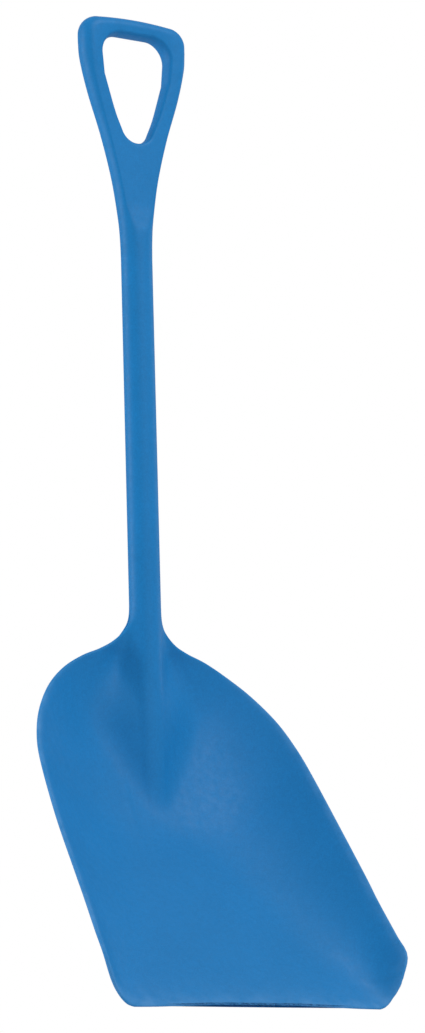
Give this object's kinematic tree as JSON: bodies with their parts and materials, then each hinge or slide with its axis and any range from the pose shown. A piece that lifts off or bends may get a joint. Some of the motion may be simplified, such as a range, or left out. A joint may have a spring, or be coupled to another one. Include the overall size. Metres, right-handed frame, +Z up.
{
  "type": "grain scoop shovel",
  "caption": "Deep square-lipped plastic scoop shovel with raised side walls, a straight oval shaft and a closed D-shaped hand grip.",
  "frame": {"origin": "middle of the cutting edge, on its narrow end face", "axes": "+Z up along the shaft towards the grip, -Y out of the open side of the bowl, X across the blade"},
  "size_m": [0.3578, 0.2161, 1.067],
  "materials": {
    "bowl_polypropylene": "satin moulded, mid blue",
    "shaft_polypropylene": "satin moulded, mid blue",
    "grip_polypropylene": "satin moulded, mid blue"
  },
  "bodies": {
    "root": {"bowl": "bowl_polypropylene", "shaft": "shaft_polypropylene", "grip": "grip_polypropylene"}
  },
  "joints": []
}
